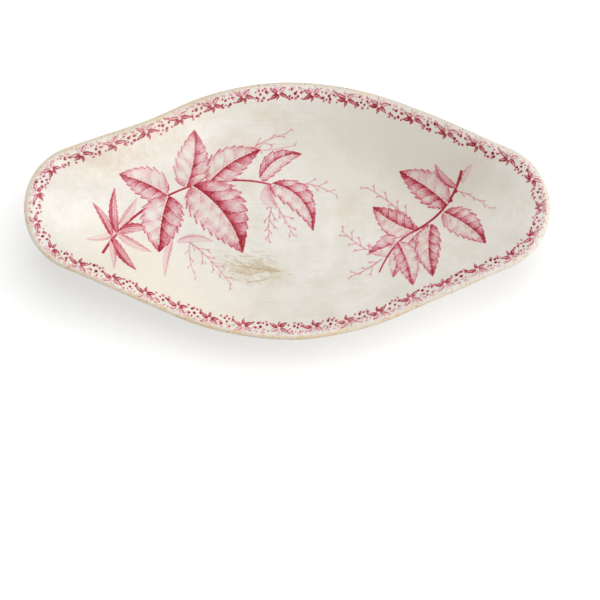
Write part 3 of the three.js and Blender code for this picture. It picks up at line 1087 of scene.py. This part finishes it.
def body_glaze():
    shade = Shade("printed_glaze")
    colour = shade.ivory()
    middle = ((12, 0, 20), (92, 46, 90))
    colour = shade.patch(colour, USED, middle, (0.07, 4, 0.6), 0.3, 0.7, 0.0, 0.3)
    by_spill = ((-15, -26, 22), (22, 10, 40), -0.28)
    colour = shade.patch(colour, BEIGE, by_spill, (0.3, 5, 0.65), 0.38, 0.62, 0.0, 0.65)
    upper_left = ((-68, 30, 36), (42, 15, 40), 0.42)
    colour = shade.patch(colour, TAN, upper_left, (0.35, 5, 0.7), 0.38, 0.64, 0.1, 0.65)
    # Painted shade: the back wall towards the right end is blended to a duller colour.
    painted_shade_upper_right = shade.spot((50, 24, 36), (76, 42, 40), -0.3)
    colour = shade.blend(shade.both(painted_shade_upper_right, PAINTED_SHADE_MOST), colour, PAINTED_SHADE_GLAZE)
    # Painted light: the front wall towards the left end is brightened towards cream.
    painted_light_lower_left = ((-58, -30, 36), (66, 24, 60), -0.44)
    painted_light_cloud = (0.08, 3, 0.55, None, (7, 7, 1))
    colour = shade.patch(colour, CREAM, painted_light_lower_left, painted_light_cloud, 0.3, 0.6, 0.6, 0.95)
    outside = shade.layer("outside")
    # The outside is blended to a darker, warmer tone, partly the glaze's own and partly painted shade.
    outside_tone_and_shade = shade.span(shade.noise(0.05, 4, 0.6, shift=(9, 2, 40)), 0.3, 0.7, 0.35, 0.75)
    colour = shade.blend(shade.both(outside, outside_tone_and_shade), colour, OUTSIDE)
    turned = shade.span(shade.noise(1.0, 3, 0.6, stretch=(0.010, 0.025, 1.2)), 0.42, 0.68, 0, 0.45)
    colour = shade.blend(shade.both(outside, turned), colour, TURNED)
    worn = shade.span(shade.noise(0.8, 4, 0.65), 0.30, 0.55, *INK_WEAR)
    density = shade.both(shade.math("POWER", shade.layer("ink"), INK_CONTRAST), worn)
    channels = [shade.math("POWER", left, density) for left in INK_LEFT]
    tint = add_node(shade.tree, "CombineColor", *channels)["Color"]
    colour = shade.blend(1.0, colour, tint, "MULTIPLY")
    colour = shade.blend(shade.layer("stain"), colour, STAIN)
    depth = shade.layer("rim_depth")
    ragged = shade.math("ADD", depth, shade.span(shade.noise(0.45, 4, 0.6), 0.3, 0.7, -0.9, 0.9))
    lip = shade.span(ragged, 1.0, 2.2, 1.0, 0.0)
    aged = shade.span(shade.noise(0.10, 4, 0.65, shift=(40, 3, 8)), 0.35, 0.65, 0.30, 1.0)
    aged = shade.both(aged, shade.span(shade.facing_up(), 0.15, 0.7, 0.15, 1.0))
    right_end = shade.spot((100, 22, 44), (125, 78, 60))
    tan_kept = shade.span(right_end, 0.0, 1.0, 1.0, 0.22)
    aged = shade.both(aged, tan_kept)
    front_side = shade.spot((-20, -62, 42), (120, 90, 80))
    aged = shade.both(aged, shade.span(front_side, 0.0, 1.0, 0.75, 1.3))
    colour = shade.blend(shade.both(lip, aged), colour, LIP_TAN)
    rubbed_edge = shade.span(shade.noise(0.16, 4, 0.6, shift=(12, 30, 5)), 0.44, 0.66, 0.0, 0.45)
    rubbed_edge = shade.both(rubbed_edge, shade.span(depth, 0.1, 0.8, 1.0, 0.0))
    rubbed_edge = shade.both(rubbed_edge, tan_kept)
    colour = shade.blend(rubbed_edge, colour, EDGE_TAN)
    speck = shade.span(shade.noise(0.75, 4, 0.7, shift=(3, 9, 27)), 0.57, 0.66)
    speck = shade.both(speck, shade.span(depth, 0.6, 2.8, 0.75, 0.0))
    colour = shade.blend(speck, colour, SPECK)
    shade.ridged()
    gloss = shade.span(shade.noise(0.12, 4), 0.3, 0.7, 0.16, 0.30)
    return shade.finish(colour, shade.math("ADD", gloss, shade.both(lip, LIP_ROUGHER)))


def foot_glaze():
    shade = Shade("foot_glaze")
    # Painted light: the whole foot is blended paler towards cream.
    colour = shade.blend(FOOT_PAINTED_LIGHT, shade.ivory(), CREAM)
    stain = shade.spot((1.5, -37, 3), (10, 12, 8))
    stain = shade.both(stain, shade.span(shade.noise(0.3, 5, 0.6), 0.34, 0.66, 0.15, 0.75))
    colour = shade.blend(stain, colour, TAN)
    height = add_node(shade.tree, "SeparateXYZ", shade.place)["Z"]
    ragged = shade.math("ADD", height, shade.span(shade.noise(0.5, 4), 0.3, 0.7, -0.35, 0.35))
    bare = shade.span(ragged, 0.15, 0.75, 1.0, 0.0)
    colour = shade.blend(bare, colour, BARE_CLAY)
    shade.ridged()
    gloss = shade.span(shade.noise(0.12, 4), 0.3, 0.7, 0.18, 0.34)
    return shade.finish(colour, shade.math("ADD", gloss, shade.both(bare, BARE_ROUGHER)))


def lute_glaze():
    shade = Shade("lute_glaze")
    colour = shade.ivory()
    # Painted shade: the cove is blended patchily towards the darker outside tone.
    painted_shade_patches = shade.span(shade.noise(0.15, 4), 0.35, 0.65, 0.3, 0.8)
    colour = shade.blend(painted_shade_patches, colour, OUTSIDE)
    gloss = shade.span(shade.noise(0.3, 4), 0.3, 0.7, 0.20, 0.36)
    shade.bump(shade.noise(0.6, 3), LUTE_RIPPLE)
    return shade.finish(colour, gloss)


# Stage, light and camera, in metres. The floor that the camera sees is paler than the one that lights the
# dish, glows a little, and turns white between two distances.
FLOOR_DROP = 0.0002
FLOOR_HALF = 5.0
FLOOR_COLOUR = (0.80, 0.80, 0.79, 1.0)
FLOOR_SEEN = (0.97, 0.97, 0.97, 1.0)
FLOOR_GLOW = 0.28
FLOOR_WHITE_SPAN = (0.32, 0.75)
WHITE = (1.0, 1.0, 1.0, 1.0)
WORLD_LIGHT = 0.18
# Lamps: place, size, power, and whether the glaze mirrors them
LAMPS = {
    "key": ((0.06, 0.34, 1.15), 0.9, 6.9, False),
    "right": ((1.00, 0.10, 0.50), 0.9, 5.0, True),
    "left": ((-1.00, 0.10, 0.50), 0.9, 2.8, True),
    "front": ((0.60, -0.95, 0.45), 0.7, 3.6, True),
}
# Camera: side of the photo and place in it of the view point, in pixels, and pixels for a metre there
PHOTO_SIDE = 600
PHOTO_SPOT = (286.8, 212.4)
VIEW_POINT = Vector((0, 0, 0.025))
VIEW_RISE = math.radians(84.6)
VIEW_SCALE = 2.205e3
LENS = 400
SENSOR = 36


def background_rays(tree):
    """1 for the rays that should see the white background: straight, mirrored or through glass."""
    path = add_node(tree, "LightPath")
    seen = path["Is Camera Ray"]
    for other in ("Is Glossy Ray", "Is Transmission Ray"):
        seen = add_node(tree, "Math", seen, path[other], operation="MAXIMUM")[0]
    return seen


def add_floor():
    mesh = bpy.data.meshes.new("floor")
    square = ((-1, -1), (1, -1), (1, 1), (-1, 1))
    corners = [(x * FLOOR_HALF, y * FLOOR_HALF, -FLOOR_DROP) for x, y in square]
    mesh.from_pydata(corners, [], [(0, 1, 2, 3)])
    material = bpy.data.materials.new("pale_floor")
    material.use_nodes = True
    material.cycles.emission_sampling = "NONE"
    tree = material.node_tree
    tree.nodes.clear()
    lit = add_node(tree, "BsdfDiffuse", FLOOR_COLOUR)[0]
    seen = add_node(tree, "BsdfDiffuse", FLOOR_SEEN)[0]
    glow = add_node(tree, "Emission", WHITE, FLOOR_GLOW)[0]
    near = add_node(tree, "AddShader", seen, glow)[0]
    white = add_node(tree, "Emission", WHITE)[0]
    place = add_node(tree, "TexCoord")["Object"]
    distance = add_node(tree, "VectorMath", place, operation="LENGTH")["Value"]
    far = add_node(tree, "MapRange", distance, *FLOOR_WHITE_SPAN, interpolation_type="SMOOTHSTEP")[0]
    shown = add_node(tree, "MixShader", far, near, white)[0]
    surface = add_node(tree, "MixShader", background_rays(tree), lit, shown)[0]
    add_node(tree, "OutputMaterial", surface)
    mesh.materials.append(material)
    floor = bpy.data.objects.new("floor", mesh)
    bpy.context.scene.collection.objects.link(floor)


def add_world():
    world = bpy.data.worlds.new("studio")
    bpy.context.scene.world = world
    world.use_nodes = True
    tree = world.node_tree
    background = tree.nodes["Background"]
    level = add_node(tree, "MapRange", background_rays(tree), 0.0, 1.0, WORLD_LIGHT, 1.0)[0]
    put(tree, WHITE, background.inputs["Color"])
    put(tree, level, background.inputs["Strength"])


def add_lamp(name, place, size, power, mirrored):
    lamp = bpy.data.lights.new(name, "AREA")
    lamp.shape = "DISK"
    lamp.size = size
    lamp.energy = power
    holder = bpy.data.objects.new(name, lamp)
    holder.location = place
    holder.visible_glossy = mirrored
    holder.rotation_euler = (VIEW_POINT - Vector(place)).to_track_quat("-Z", "Y").to_euler()
    bpy.context.scene.collection.objects.link(holder)


def add_camera():
    camera = bpy.data.objects.new("camera", bpy.data.cameras.new("camera"))
    camera.data.lens = LENS
    camera.data.sensor_width = SENSOR
    pixels = LENS / SENSOR * PHOTO_SIDE
    back = Vector((0, -math.cos(VIEW_RISE), math.sin(VIEW_RISE)))
    camera.location = VIEW_POINT + back * (pixels / VIEW_SCALE)
    right = PHOTO_SPOT[0] - PHOTO_SIDE / 2
    up = PHOTO_SIDE / 2 - PHOTO_SPOT[1]
    aim = Euler((-math.atan(up / pixels), math.atan(right / pixels), 0)).to_quaternion()
    camera.rotation_mode = "QUATERNION"
    camera.rotation_quaternion = (-back).to_track_quat("-Z", "Y") @ aim
    bpy.context.scene.collection.objects.link(camera)
    bpy.context.scene.camera = camera


bpy.context.scene.view_settings.view_transform = "Standard"
add_camera()
add_floor()
add_world()
for lamp_name, settings in LAMPS.items():
    add_lamp(lamp_name, *settings)
dish_shell(body_glaze())
foot_ring(foot_glaze())
slip_lute(lute_glaze())
